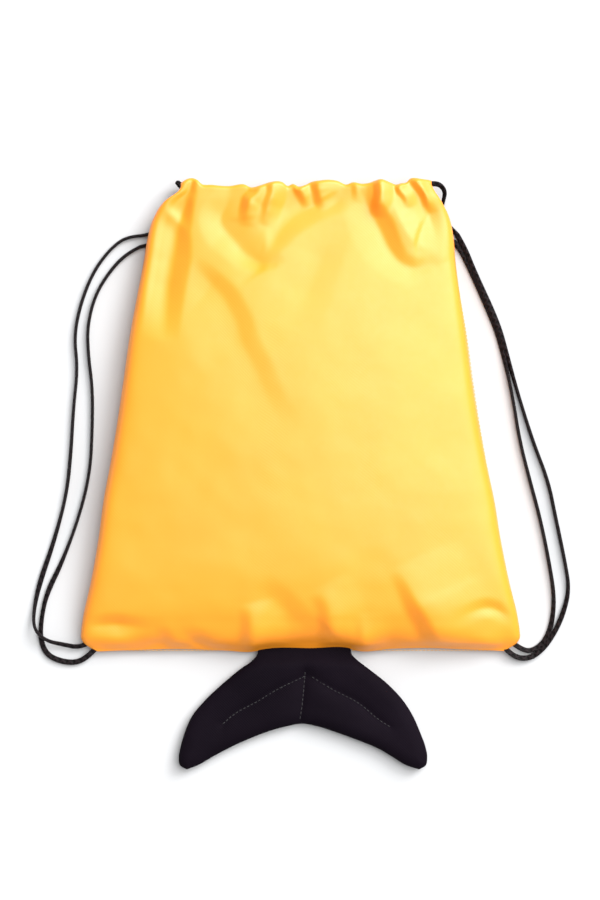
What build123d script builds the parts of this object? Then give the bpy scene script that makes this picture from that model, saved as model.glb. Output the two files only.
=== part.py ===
"""Drawstring backpack with a padded fluke-shaped tail, lying on its back.

Two cloth panels are sewn together down both sides and along the bottom. The top edge of each
panel is a tunnel (the casing), and two cords run through both tunnels, so that pulling them
gathers the mouth. Each cord leaves its own side of the mouth as two strands, which are the
shoulder strap, and both strands are sewn into the cut-off bottom corner on that side. A padded
tail is caught in the bottom seam.

Frame, in millimetres: X across the bag, +Y from the tail towards the mouth, +Z up. The bag lies
on its back panel on the surface z = 0, and the origin is the middle of the footprint of the bag
with its tail.
"""

import math
import os

from build123d import *

os.makedirs("parts", exist_ok=True)

# ---- driving dimensions -------------------------------------------------------------------
CLOTH = 1.2  # thickness of a cloth layer, with its turned-in edges
SEAM_GAP = 0.9  # half the height left between the two panels' edges
MOUTH_Y = 240.0  # outer edge of the casings
CASING_SEAM_Y = 218.0  # stitch line under the casings
BOTTOM_Y = -143.0  # bottom seam
CORNER_Y = -133.0  # where the cut-off corners meet the sides
CORNER_HALF = 180.0  # half the width of the bag there, its widest place
BOTTOM_HALF = 167.0  # half the length of the bottom seam
SHOULDER_Y = 193.0  # where the gathered top starts to draw in
SHOULDER_HALF = 125.0
CASING_SEAM_HALF = 115.0  # half the width at the stitch line
MOUTH_HALF = 100.0  # half the gathered length of a casing
BOTTOM_SEAM_Z = 6.5
SIDE_SEAM_Z = 13.0
MOUTH_SEAM_Z = 16.0
CROWN_Z = 46.0  # highest point of the front panel

CORD = 4.0  # diameter of the drawcords
ON_FLOOR = CORD / 2  # height of a cord's centre where it lies on the surface
THREAD = 0.9  # diameter of the sewing thread with its bedding

TAIL_ROOT_Y = -145.2
TAIL_END_Y = -240.0  # lowest point of the flukes
TAIL_HALF = 101.4  # half the span of the flukes
TAIL_ROOT_HALF = 38.0
TAIL_NOTCH_Y = -201.7  # bottom of the notch between the flukes
TAIL_RISE = 6.3  # half the thickness of the padded tail
TAIL_ROUND = 5.0  # rounding of its edges


def write(part, label):
    """Labels a finished piece and writes it to its own file."""
    part.label = label
    export_step(part, f"parts/{label}.step")


# ---- panels -------------------------------------------------------------------------------
# Stations along Y: (y, half width, seam height, crown height, underside height, flat half width)
STATIONS = (
    (BOTTOM_Y, BOTTOM_HALF, BOTTOM_SEAM_Z, 8.6, 4.4, 140.0),
    (CORNER_Y, CORNER_HALF, BOTTOM_SEAM_Z, 18.5, 1.3, 135.0),
    (-116.0, 178.0, 8.5, 28.5, -0.3, 130.0),
    (-90.0, 173.5, 11.5, 36.5, -0.3, 125.0),
    (-40.0, 164.5, SIDE_SEAM_Z, 43.5, -0.3, 115.0),
    (30.0, 152.5, SIDE_SEAM_Z, CROWN_Z, -0.3, 105.0),
    (100.0, 141.0, SIDE_SEAM_Z, 44.5, -0.3, 90.0),
    (155.0, 131.5, 14.5, 38.5, -0.3, 70.0),
    (SHOULDER_Y, SHOULDER_HALF, MOUTH_SEAM_Z, 30.0, -0.3, 50.0),
    (CASING_SEAM_Y, CASING_SEAM_HALF, MOUTH_SEAM_Z, 26.5, -0.3, 50.0),
)
CROWN_AT = (-1, -0.9, -0.7, -0.4, 0, 0.4, 0.7, 0.9, 1)  # shares of the half width
BEND_AT = (0, 20, 40, 60, 77, 90)  # degrees round the bend up to a side seam


def section_plane(y):
    """Plane across the bag at y: sketch x is X and sketch y is Z."""
    return Plane(origin=(0, y, 0), x_dir=(1, 0, 0), z_dir=(0, -1, 0))


def crown_curve(half, base, rise):
    """Points of a pillow-shaped arch between (-half, base) and (half, base)."""
    return [(u * half, base + rise * (1 - abs(u) ** 2.5) ** 0.75) for u in CROWN_AT]


def front_section(y, half, seam, crown):
    """Crescent of cloth from edge to edge over the top of the bag."""
    base = seam + SEAM_GAP
    outer = crown_curve(half, base, crown - base)
    inner = crown_curve(half - CLOTH, base, crown - CLOTH - base)
    with BuildSketch(section_plane(y)) as section:
        with BuildLine():
            Spline(*outer)
            Line(outer[-1], inner[-1])
            Spline(*reversed(inner))
            Line(inner[0], outer[0])
        make_face()
    return section.sketch


def bend_points(flat, half, bottom, top):
    """Points of the quarter ellipse from the flat underside up to a side seam."""
    turns = [math.radians(angle) for angle in BEND_AT]
    reach, rise = half - flat, top - bottom
    return [
        (flat + reach * math.sin(turn), bottom + rise * (1 - math.cos(turn)))
        for turn in turns
    ]


def back_section(y, half, seam, under, flat):
    """Cloth under the bag: flat in the middle, curving up to the side seams."""
    top = seam - SEAM_GAP
    outer = bend_points(flat, half, under, top)
    inner = bend_points(flat, half - CLOTH, under + CLOTH, top)
    with BuildSketch(section_plane(y)) as section:
        with BuildLine():
            Line((0, under), (flat, under))
            Spline(*outer)
            Line(outer[-1], inner[-1])
            Spline(*reversed(inner))
            Line(inner[0], (0, under + CLOTH))
            mirror(about=Plane.YZ)
        make_face()
    return section.sketch


with BuildPart() as front_panel:
    for y, half, seam, crown, _under, _flat in STATIONS:
        add(front_section(y, half, seam, crown))
    loft()
write(front_panel.part, "front_panel")

with BuildPart() as back_panel:
    for y, half, seam, _crown, under, flat in STATIONS:
        add(back_section(y, half, seam, under, flat))
    loft()
    split(bisect_by=Plane.XY, keep=Keep.TOP)  # the patch that the bag rests on is flat
write(back_panel.part, "back_panel")

# ---- casings ------------------------------------------------------------------------------
CASING_HEIGHT = 8.0  # of the flattened tunnel
CASING_GAP = 0.2  # between a casing and the edge of its panel
CASING_WIDTH = MOUTH_Y - CASING_SEAM_Y - CASING_GAP
CASING_Y = MOUTH_Y - CASING_WIDTH / 2
FRONT_END_Z = 18.0  # centre of the front casing at its ends
FRONT_MIDDLE_Z = 24.0  # and at its middle, where the mouth arches up
BACK_CASING_Z = CASING_HEIGHT / 2
WALL_ROUND = CASING_HEIGHT / 2 - 0.1


def tunnel_section(start, along):
    """Section of a flattened cloth tunnel at its start, which runs off along a direction."""
    with BuildSketch(Plane(origin=start, x_dir=(0, 1, 0), z_dir=along)) as section:
        RectangleRounded(CASING_WIDTH, CASING_HEIGHT, WALL_ROUND)
        RectangleRounded(
            CASING_WIDTH - 2 * CLOTH,
            CASING_HEIGHT - 2 * CLOTH,
            WALL_ROUND - CLOTH,
            mode=Mode.SUBTRACT,
        )
    return section.sketch


def front_arch_z(x):
    """Height at x of the arc that the front casing follows."""
    sagitta = FRONT_MIDDLE_Z - FRONT_END_Z
    radius = (MOUTH_HALF**2 + sagitta**2) / (2 * sagitta)
    return FRONT_MIDDLE_Z - radius + math.sqrt(radius**2 - x**2)


def front_arch(y, half):
    """That arc at y, for half its length to each side."""
    end_z = front_arch_z(half)
    return ThreePointArc((-half, y, end_z), (0, y, FRONT_MIDDLE_Z), (half, y, end_z))


with BuildPart() as front_casing:
    with BuildLine():
        arch = front_arch(CASING_Y, MOUTH_HALF)
    add(tunnel_section(arch @ 0, arch % 0))
    sweep()
write(front_casing.part, "front_casing")

with BuildPart() as back_casing:
    add(tunnel_section((-MOUTH_HALF, CASING_Y, BACK_CASING_Z), (1, 0, 0)))
    extrude(amount=2 * MOUTH_HALF, dir=(1, 0, 0))
write(back_casing.part, "back_casing")

# ---- stitching ----------------------------------------------------------------------------
STITCH = 3.4  # length of one stitch
STITCH_PITCH = 4.6
STITCH_Y = CASING_SEAM_Y + 3.5  # the row that closes a casing
ON_TOP = THREAD / 2 + 0.1  # height of a stitch's centre above the cloth it lies on


def stitch_row(places):
    """Stitches as separate short rounded bars, one at each Location, along its X."""
    with BuildPart() as row:
        with Locations(*places):
            Cylinder(THREAD / 2, STITCH, rotation=(0, 90, 0))
    return row.part


stitches_across = int(2 * (MOUTH_HALF - STITCH_PITCH) / STITCH_PITCH)
stitch_xs = [
    (i - (stitches_across - 1) / 2) * STITCH_PITCH for i in range(stitches_across)
]
arch_slope = (FRONT_MIDDLE_Z - FRONT_END_Z) * 2 / MOUTH_HALF**2  # per millimetre of x
front_places = [
    Location(
        (x, STITCH_Y, front_arch_z(x) + CASING_HEIGHT / 2 + ON_TOP),
        (0, math.degrees(math.atan(arch_slope * x)), 0),
    )
    for x in stitch_xs
]
back_places = [Location((x, STITCH_Y, CASING_HEIGHT + ON_TOP)) for x in stitch_xs]
write(stitch_row(front_places), "front_casing_stitching")
write(stitch_row(back_places), "back_casing_stitching")


def seam_thread(points, label):
    """Thread through the points, in the gap between the edges of the two panels."""
    with BuildPart() as thread:
        with BuildLine():
            line = Spline(*points)
        with BuildSketch(Plane(origin=line @ 0, z_dir=line % 0)):
            Circle(THREAD / 2)
        sweep()
    write(thread.part, label)


SEAM_INSET = CLOTH / 2  # the thread runs through the middle of the panels' edges


def side_seam_points(side):
    """Points down one side seam, from the casing to near the corner; side is -1 or 1."""
    return [
        (side * (half - SEAM_INSET), y, seam)
        for y, half, seam, *_rest in reversed(STATIONS[2:])
    ]


seam_thread(side_seam_points(-1), "left_side_seam_stitching")
seam_thread(side_seam_points(1), "right_side_seam_stitching")
bottom_thread_y = BOTTOM_Y + 0.8
seam_thread(
    [
        (-BOTTOM_HALF + 12, bottom_thread_y, BOTTOM_SEAM_Z),
        (BOTTOM_HALF - 12, bottom_thread_y, BOTTOM_SEAM_Z),
    ],
    "bottom_seam_stitching",
)

# ---- tail ---------------------------------------------------------------------------------
TAIL_GAP = 0.1  # half the gap between the two tail skins at their seam
FLANGE = 1.0  # half the thickness of the unpadded strip beside the bag
PADDED_Y = TAIL_ROOT_Y - 5.0  # where the padding starts
TAIL_SEAM = 2.5  # width of the seam around the padding
LINING_GAP = 0.3  # between the skins and the padding


fluke_edge = Spline(  # from the notch round one fluke to the root
    (0, TAIL_NOTCH_Y),
    (29.5, -209.0),
    (61.5, -223.0),
    (85.0, -236.3),
    (95.0, TAIL_END_Y),
    (TAIL_HALF, -231.5),
    (97.0, -210.5),
    (81.0, -183.5),
    (58.0, -162.0),
    (TAIL_ROOT_HALF + 2, PADDED_Y),
    tangents=((1, 0), (-0.72, 0.7)),
)
EDGE_SHARES = [i / 24 for i in range(25)]


def padded_outline(inset):
    """Outline of the padded part of the tail, drawn in by inset."""
    half = []
    for share in EDGE_SHARES:
        inward = (fluke_edge % share).rotate(Axis.Z, 90)
        half.append(fluke_edge @ share + inward * inset)
    with BuildSketch() as outline:
        with BuildLine():
            Spline(*half)
            Line(half[-1], (0, half[-1].Y))
            mirror(about=Plane.YZ)
        make_face()
        if inset:
            split(bisect_by=Plane.XZ.offset(-PADDED_Y + inset), keep=Keep.TOP)
    return outline.sketch


def tail_skin(side):
    """One skin of the tail, above its middle plane (side 1) or below it (side -1)."""
    middle = Plane.XY.offset(BOTTOM_SEAM_Z + side * TAIL_GAP)
    up = (0, 0, side)
    with BuildPart() as skin:
        with BuildSketch(middle):
            add(padded_outline(0))
        extrude(amount=TAIL_RISE - TAIL_GAP, dir=up)
        far = skin.faces().sort_by(Axis.Z)[-1 if side > 0 else 0]
        fillet(far.edges(), TAIL_ROUND)
        with BuildSketch(middle):
            add(padded_outline(TAIL_SEAM))
        extrude(amount=TAIL_RISE - TAIL_GAP - CLOTH, dir=up, mode=Mode.SUBTRACT)
        with BuildSketch(middle):
            with Locations((0, (TAIL_ROOT_Y + PADDED_Y - TAIL_SEAM) / 2)):
                Rectangle(2 * TAIL_ROOT_HALF, TAIL_ROOT_Y - PADDED_Y + TAIL_SEAM)
        extrude(amount=FLANGE - TAIL_GAP, dir=up)
    return skin.part


write(tail_skin(1), "tail_top_fabric")
write(tail_skin(-1), "tail_bottom_fabric")

with BuildPart() as tail_padding:
    with BuildSketch(Plane.XY.offset(BOTTOM_SEAM_Z - TAIL_RISE + CLOTH + LINING_GAP)):
        add(padded_outline(TAIL_SEAM + LINING_GAP))
    extrude(amount=2 * (TAIL_RISE - CLOTH - LINING_GAP), dir=(0, 0, 1))
write(tail_padding.part, "tail_padding")

QUILT_Z = BOTTOM_SEAM_Z + TAIL_RISE + ON_TOP  # the rows lie on the top skin
QUILTING = {  # row name: its two ends
    "tail_left_quilting": ((-1.5, -163.0), (-64.0, -202.5)),
    "tail_right_quilting": ((7.0, -165.0), (71.0, -204.0)),
    "tail_centre_quilting": ((2.6, -161.5), (-1.2, -196.5)),
}
QUILT_PITCH = 4.0


def quilting_places(start, end):
    """Locations of the stitches of one straight row on the tail."""
    run = math.dist(start, end)
    angle = math.degrees(math.atan2(end[1] - start[1], end[0] - start[0]))
    count = int(run / QUILT_PITCH)
    return [
        Location(
            (
                start[0] + (end[0] - start[0]) * (i + 0.5) / count,
                start[1] + (end[1] - start[1]) * (i + 0.5) / count,
                QUILT_Z,
            ),
            (0, 0, angle),
        )
        for i in range(count)
    ]


for quilt_name, (start, end) in QUILTING.items():
    write(stitch_row(quilting_places(start, end)), quilt_name)

# ---- cords --------------------------------------------------------------------------------
# A cord's route is a list of points chosen by hand. "left" and "right" are the two cords, each
# named after the side of the bag that its strap is on.
LEFT_CORD_Y = 228.0  # where each cord lies in the casings
RIGHT_CORD_Y = 234.0
CORD_GAP = 0.5  # between the lengths that a cord is modelled in
ARC_SHARE = 0.45  # share of the shorter run that an arc takes at each end


def arc_radii(route):
    """The largest arc that the two runs at each corner of a route allow."""
    radii = []
    for before, here, after in zip(route, route[1:], route[2:]):
        into = Vector(*here) - Vector(*before)
        out = Vector(*after) - Vector(*here)
        turn = math.radians(into.get_angle(out))
        shorter = min(into.length, out.length)
        radii.append(ARC_SHARE * shorter / math.tan(turn / 2))
    return radii


def cord_length(route, label):
    """Round cord along a route of straight runs joined by tangent arcs."""
    radii = arc_radii(route)
    with BuildPart() as cord:
        with BuildLine():
            line = FilletPolyline(*route, radius=radii)
        with BuildSketch(Plane(origin=line @ 0, z_dir=line % 0)):
            Circle(CORD / 2)
        sweep()
    run = line.length
    share = cord.part.volume / (math.pi * CORD**2 / 4 * run)
    print(f"{label}: {run:.0f} mm, volume share {share:.3f}, radii", end=" ")
    print(" ".join(f"{r:.0f}" for r in radii))
    write(cord.part, label)


# Shoulder strands, from where they come out from under the bag to the cut-off corner.
LEFT_OUTER = (
    (-129, 197, ON_FLOOR),
    (-141, 196.5, ON_FLOOR),
    (-154, 188, ON_FLOOR),
    (-169, 169, ON_FLOOR),
    (-180, 142, ON_FLOOR),
    (-185.5, 115, ON_FLOOR),
    (-182.5, 88, ON_FLOOR),
    (-186, 56, ON_FLOOR),
    (-188, 20, ON_FLOOR),
    (-191.5, -15, ON_FLOOR),
    (-202, -54, ON_FLOOR),
    (-214, -88, ON_FLOOR),
    (-218.8, -112, 2.6),
    (-218, -126, 6.5),
    (-208, -135, 6.5),
    (-194.5, -138, 3.5),
    (-180.5, -142, BOTTOM_SEAM_Z),
)
LEFT_INNER = (
    (-131, 188, ON_FLOOR),
    (-141.5, 183, ON_FLOOR),
    (-155, 169.5, ON_FLOOR),
    (-168, 149, ON_FLOOR),
    (-174.5, 124, ON_FLOOR),
    (-174, 100, ON_FLOOR),
    (-170.3, 72, ON_FLOOR),
    (-170.5, 38, ON_FLOOR),
    (-172.5, 2, ON_FLOOR),
    (-181.5, -34, ON_FLOOR),
    (-195, -70, ON_FLOOR),
    (-208, -96, ON_FLOOR),
    (-212.3, -117, ON_FLOOR),
    (-213.2, -134, ON_FLOOR),
    (-208, -146.5, ON_FLOOR),
    (-196, -152, ON_FLOOR),
    (-183, -153, 2.6),
    (-172.5, -147.8, BOTTOM_SEAM_Z),
)
RIGHT_INNER = (
    (124.6, 192.4, ON_FLOOR),
    (130, 183.2, ON_FLOOR),
    (138, 163, ON_FLOOR),
    (149, 139.5, ON_FLOOR),
    (160, 114, ON_FLOOR),
    (167, 90, ON_FLOOR),
    (173.4, 61, ON_FLOOR),
    (178, 32, ON_FLOOR),
    (187.5, 0, ON_FLOOR),
    (197, -35, ON_FLOOR),
    (204, -70, ON_FLOOR),
    (208, -98, ON_FLOOR),
    (206, -120, ON_FLOOR),
    (199, -135, ON_FLOOR),
    (190, -141.5, 3.0),
    (181, -142.5, BOTTOM_SEAM_Z),
)
RIGHT_OUTER = (
    (128, 198.5, ON_FLOOR),
    (134.6, 187.4, ON_FLOOR),
    (142.8, 165.5, ON_FLOOR),
    (153, 142, ON_FLOOR),
    (165, 117, ON_FLOOR),
    (173.5, 88, ON_FLOOR),
    (181.5, 57, ON_FLOOR),
    (190.5, 26, ON_FLOOR),
    (203.5, -4, ON_FLOOR),
    (210, -36, ON_FLOOR),
    (218, -69, ON_FLOOR),
    (221.5, -93, ON_FLOOR),
    (217.5, -114, ON_FLOOR),
    (210, -130, ON_FLOOR),
    (200, -143.5, ON_FLOOR),
    (186, -151.5, 2.6),
    (173, -148.5, BOTTOM_SEAM_Z),
)
cord_length(LEFT_OUTER, "left_cord_outer_strand")
cord_length(LEFT_INNER, "left_cord_inner_strand")
cord_length(RIGHT_OUTER, "right_cord_outer_strand")
cord_length(RIGHT_INNER, "right_cord_inner_strand")

# Lengths between the casings and the shoulder strands, tucked under the bag's edge. A back
# lead starts inside its casing, and a front lead just outside.
CASING_END = MOUTH_HALF + CORD_GAP
LEAD_START = 85.0
LEFT_FRONT_LEAD = (
    (-CASING_END, LEFT_CORD_Y, FRONT_END_Z),
    (-105.7, 228, 17.4),
    (-109.2, 226.5, 12.6),
    (-109.4, 222.5, 7.8),
    (-108.8, 216.5, 4.3),
    (-109.8, 209.5, 2.3),
    (-113.5, 202.8, ON_FLOOR),
    (-120.5, 198.6, ON_FLOOR),
    (-127.3, 197.1, ON_FLOOR),
)
LEFT_BACK_LEAD = (
    (-LEAD_START, LEFT_CORD_Y, BACK_CASING_Z),
    (-93, 227.4, BACK_CASING_Z),
    (-99.6, 223.6, 3.8),
    (-102.8, 216.8, 2.8),
    (-103, 209, 2.2),
    (-106.3, 201, ON_FLOOR),
    (-112, 194.8, ON_FLOOR),
    (-120, 190.2, ON_FLOOR),
    (-128.6, 189, ON_FLOOR),
)
RIGHT_FRONT_LEAD = (
    (CASING_END, RIGHT_CORD_Y, FRONT_END_Z),
    (107.5, 236, 17.8),
    (113.8, 236.2, 15.6),
    (118, 231.8, 11.4),
    (116.8, 224.8, 7.2),
    (115, 217, 4),
    (116.4, 210, 2.2),
    (121.4, 205, ON_FLOOR),
    (127, 199.9, ON_FLOOR),
)
RIGHT_BACK_LEAD = (
    (LEAD_START, RIGHT_CORD_Y, BACK_CASING_Z),
    (95, 234.3, BACK_CASING_Z),
    (104, 233.8, BACK_CASING_Z),
    (109.6, 229.8, 3.4),
    (110, 223, 2.8),
    (107.6, 216.5, 2.3),
    (108, 209.2, ON_FLOOR),
    (112.2, 203.2, ON_FLOOR),
    (118, 198.8, ON_FLOOR),
    (123.6, 193.9, ON_FLOOR),
)
cord_length(LEFT_FRONT_LEAD, "left_cord_front_lead")
cord_length(LEFT_BACK_LEAD, "left_cord_back_lead")
cord_length(RIGHT_FRONT_LEAD, "right_cord_front_lead")
cord_length(RIGHT_BACK_LEAD, "right_cord_back_lead")


def front_run(y):
    """The length of a cord inside the front casing."""
    with BuildPart() as run:
        with BuildLine():
            line = front_arch(y, MOUTH_HALF - CORD_GAP)
        with BuildSketch(Plane(origin=line @ 0, z_dir=line % 0)):
            Circle(CORD / 2)
        sweep()
    return run.part


write(front_run(LEFT_CORD_Y), "left_cord_front_run")
write(front_run(RIGHT_CORD_Y), "right_cord_front_run")


def back_run(y, side):
    """The length inside the back casing, and the turn at its far end up to the front casing.

    side is the side that the turn is on: 1 for the left cord and -1 for the right cord.
    """
    turn_r = (FRONT_END_Z - BACK_CASING_Z) / 2
    turn_x = side * CASING_END
    with BuildPart() as run:
        with BuildLine():
            lead_x = -side * (LEAD_START - CORD_GAP)
            inside = Line((lead_x, y, BACK_CASING_Z), (turn_x, y, BACK_CASING_Z))
            ThreePointArc(
                inside @ 1,
                (turn_x + side * turn_r, y, BACK_CASING_Z + turn_r),
                (turn_x, y, FRONT_END_Z),
            )
        with BuildSketch(Plane(origin=inside @ 0, z_dir=inside % 0)):
            Circle(CORD / 2)
        sweep()
    return run.part


write(back_run(LEFT_CORD_Y, 1), "left_cord_back_run")
write(back_run(RIGHT_CORD_Y, -1), "right_cord_back_run")

# The ends of each cord, flattened and sewn between the panels at the cut-off corner.
SEWN_WIDTH = 5.2
SEWN_THICKNESS = 1.2
SEWN_LENGTH = 9.0
SEWN_SLANT = 38.0  # degrees between a sewn end and the bottom seam
SEWN_SPACING = 9.0


def sewn_ends(side):
    """Both flattened ends of one cord in its corner; side is -1 for left and 1 for right."""
    middle = Location(
        (side * 171.8, -136.0, BOTTOM_SEAM_Z),
        (0, 0, 90 + side * (90 - SEWN_SLANT)),
    )
    with BuildPart() as ends:
        with Locations(middle):
            with GridLocations(0, SEWN_SPACING, 1, 2):
                Box(SEWN_LENGTH, SEWN_WIDTH, SEWN_THICKNESS)
    return ends.part


write(sewn_ends(-1), "left_cord_sewn_ends")
write(sewn_ends(1), "right_cord_sewn_ends")
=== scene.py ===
"""Drawstring backpack with a fluke-shaped tail, lying on its back on a pale floor.

Lengths in the tables and in the cloth code are millimetres in the frame of the CAD model; MM
turns them into Blender's metres as each mesh is made.
"""

import math

import bpy
import numpy as np
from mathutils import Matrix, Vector


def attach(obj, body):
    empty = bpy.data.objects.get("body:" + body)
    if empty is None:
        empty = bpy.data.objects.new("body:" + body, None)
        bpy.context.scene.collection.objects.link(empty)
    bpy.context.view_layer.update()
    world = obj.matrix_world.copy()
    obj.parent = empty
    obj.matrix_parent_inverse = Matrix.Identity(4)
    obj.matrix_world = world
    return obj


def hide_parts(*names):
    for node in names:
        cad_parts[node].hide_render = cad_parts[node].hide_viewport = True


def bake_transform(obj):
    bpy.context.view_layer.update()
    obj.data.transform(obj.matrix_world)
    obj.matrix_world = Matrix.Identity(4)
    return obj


MM = 0.001
UV_MM = 100  # millimetres of cloth or cord in one unit of UV

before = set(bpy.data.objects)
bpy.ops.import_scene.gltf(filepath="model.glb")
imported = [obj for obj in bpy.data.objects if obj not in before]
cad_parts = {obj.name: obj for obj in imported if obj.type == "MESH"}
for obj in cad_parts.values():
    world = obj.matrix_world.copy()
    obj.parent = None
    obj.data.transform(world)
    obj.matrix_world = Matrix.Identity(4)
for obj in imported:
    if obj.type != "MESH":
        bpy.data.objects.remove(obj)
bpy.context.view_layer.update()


# ---- helpers ------------------------------------------------------------------------------
def mesh_object(name, points, faces, material, uvs=None):
    """A mesh object from points in millimetres, with one UV pair per point if uvs is given."""
    mesh = bpy.data.meshes.new(name)
    mesh.from_pydata((np.asarray(points) * MM).tolist(), [], [tuple(f) for f in faces])
    if uvs is not None:
        layer = mesh.uv_layers.new(name="UVMap")
        corner_points = np.empty(len(mesh.loops), int)
        mesh.loops.foreach_get("vertex_index", corner_points)
        layer.data.foreach_set("uv", np.asarray(uvs)[corner_points].ravel())
    mesh.polygons.foreach_set("use_smooth", [True] * len(mesh.polygons))
    mesh.materials.append(material)
    mesh.update()
    piece = bpy.data.objects.new(name, mesh)
    bpy.context.collection.objects.link(piece)
    return piece


def grid_faces(rows, columns, first=0):
    """Quads of a grid of points stored row by row, starting at index first."""
    quads = []
    for r in range(rows - 1):
        for c in range(columns - 1):
            a = first + r * columns + c
            quads.append((a, a + 1, a + columns + 1, a + columns))
    return quads


def smoothstep(low, high, value):
    """0 below low, 1 above high and smooth between them."""
    share = np.clip((value - low) / (high - low), 0, 1)
    return share * share * (3 - 2 * share)


def resample(points, count):
    """count points spread evenly along a polyline."""
    points = np.asarray(points, float)
    steps = np.linalg.norm(np.diff(points, axis=0), axis=1)
    along = np.concatenate([[0], np.cumsum(steps)])
    at = np.linspace(0, along[-1], count)
    return np.stack([np.interp(at, along, points[:, k]) for k in range(3)], axis=1)


def nurbs_line(route):
    """Points along the smooth spline that has the route's points as its control points."""
    curve = bpy.data.curves.new("route", "CURVE")
    curve.dimensions = "3D"
    spline = curve.splines.new("NURBS")
    spline.points.add(len(route) - 1)
    for point, at in zip(spline.points, route):
        point.co = (at[0] * MM, at[1] * MM, at[2] * MM, 1)
    spline.order_u = 3
    spline.use_endpoint_u = True
    spline.resolution_u = 12
    holder = bpy.data.objects.new("route", curve)
    bpy.context.collection.objects.link(holder)
    bpy.context.view_layer.update()
    graph = bpy.context.evaluated_depsgraph_get()
    line = bpy.data.meshes.new_from_object(holder.evaluated_get(graph))
    points = np.array([v.co[:] for v in line.vertices]) / MM
    bpy.data.objects.remove(holder)
    bpy.data.curves.remove(curve)
    bpy.data.meshes.remove(line)
    return points


# ---- materials ----------------------------------------------------------------------------
class Nodes:
    """Short calls for making one material's node tree."""

    def __init__(self, name):
        self.material = bpy.data.materials.new(name)
        self.material.use_nodes = True
        self.tree = self.material.node_tree
        self.shader = self.tree.nodes["Principled BSDF"]

    def add(self, kind, **values):
        """A node of that kind; a value goes to an input of that name, or to an attribute."""
        node = self.tree.nodes.new(kind)
        for key, value in values.items():
            socket = node.inputs.get(key.replace("_", " "))
            if socket is None:
                setattr(node, key, value)
            elif isinstance(value, bpy.types.NodeSocket):
                self.tree.links.new(value, socket)
            else:
                socket.default_value = value
        return node

    def maths(self, operation, first, second=0.0):
        """Output of a Math node."""
        node = self.tree.nodes.new("ShaderNodeMath")
        node.operation = operation
        for socket, value in zip(node.inputs, (first, second)):
            if isinstance(value, bpy.types.NodeSocket):
                self.tree.links.new(value, socket)
            else:
                socket.default_value = value
        return node.outputs[0]

    def ramp(self, factor, *stops):
        """Colour from a factor, through (position, colour) stops."""
        node = self.tree.nodes.new("ShaderNodeValToRGB")
        self.tree.links.new(factor, node.inputs["Fac"])
        elements = node.color_ramp.elements
        while len(elements) < len(stops):
            elements.new(0.5)
        for element, (position, colour) in zip(elements, stops):
            element.position = position
            element.color = (*colour, 1)
        return node.outputs["Color"]

    def set(self, **values):
        """Values or links on the shader's sockets."""
        for key, value in values.items():
            socket = self.shader.inputs[key.replace("_", " ")]
            if isinstance(value, bpy.types.NodeSocket):
                self.tree.links.new(value, socket)
            else:
                socket.default_value = value


def woven(name, dark, light, thread_mm, depth, roughness, sheen, sheen_tint, specular, coat):
    """Plain-weave cloth. The mesh's UVs are millimetres of flat cloth, divided by UV_MM."""
    m = Nodes(name)
    uv = m.add("ShaderNodeTexCoord").outputs["UV"]
    split = m.add("ShaderNodeSeparateXYZ", Vector=uv)
    turns = UV_MM / thread_mm * math.pi
    warp = m.maths("SINE", m.maths("MULTIPLY", split.outputs["X"], turns))
    weft = m.maths("SINE", m.maths("MULTIPLY", split.outputs["Y"], turns))
    over = m.maths("MULTIPLY", warp, weft)
    slub = m.add("ShaderNodeTexNoise", Scale=18.0, Detail=4.0, Vector=uv).outputs["Fac"]
    blotch = m.add("ShaderNodeTexNoise", Scale=1.3, Detail=3.0, Vector=uv).outputs["Fac"]
    height = m.maths("ADD", m.maths("MULTIPLY", over, 0.5), m.maths("MULTIPLY", slub, 0.8))
    shade = m.maths("ADD", m.maths("MULTIPLY", over, 0.10), m.maths("MULTIPLY", blotch, 0.9))
    colour = m.ramp(shade, (0.2, dark), (0.7, light))
    bump = m.add("ShaderNodeBump", Strength=1.0, Distance=depth * MM, Height=height)
    rough = m.maths("ADD", m.maths("MULTIPLY", slub, 0.12), roughness - 0.06)
    m.set(Base_Color=colour, Roughness=rough, Normal=bump.outputs["Normal"])
    m.set(Sheen_Weight=sheen, Sheen_Tint=(*sheen_tint, 1), Specular_IOR_Level=specular)
    m.set(Sheen_Roughness=0.45, Coat_Weight=coat, Coat_Roughness=0.5, Coat_IOR=1.5)
    return m.material


PLAIT_ACROSS = 2.4  # half a wave of the braid's pattern, across and along the cord
PLAIT_ALONG = 3.0


def braided(name):
    """Flat black braid. The UVs are millimetres round and along the cord, divided by UV_MM."""
    m = Nodes(name)
    uv = m.add("ShaderNodeTexCoord").outputs["UV"]
    split = m.add("ShaderNodeSeparateXYZ", Vector=uv)
    across = m.maths("MULTIPLY", split.outputs["X"], UV_MM / PLAIT_ACROSS * math.pi)
    along = m.maths("MULTIPLY", split.outputs["Y"], UV_MM / PLAIT_ALONG * math.pi)
    one = m.maths("SINE", m.maths("ADD", along, across))
    other = m.maths("SINE", m.maths("SUBTRACT", along, across))
    plait = m.maths("MAXIMUM", one, other)
    fibre = m.add("ShaderNodeTexNoise", Scale=60.0, Detail=3.0, Vector=uv).outputs["Fac"]
    height = m.maths("ADD", plait, m.maths("MULTIPLY", fibre, 0.4))
    colour = m.ramp(plait, (0.0, (0.0015, 0.0008, 0.001)), (1.0, (0.011, 0.006, 0.0075)))
    bump = m.add("ShaderNodeBump", Strength=1.0, Distance=0.35 * MM, Height=height)
    m.set(Base_Color=colour, Roughness=0.62, Normal=bump.outputs["Normal"])
    m.set(Sheen_Weight=0.04, Sheen_Roughness=0.4, Specular_IOR_Level=0.15)
    return m.material


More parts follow.
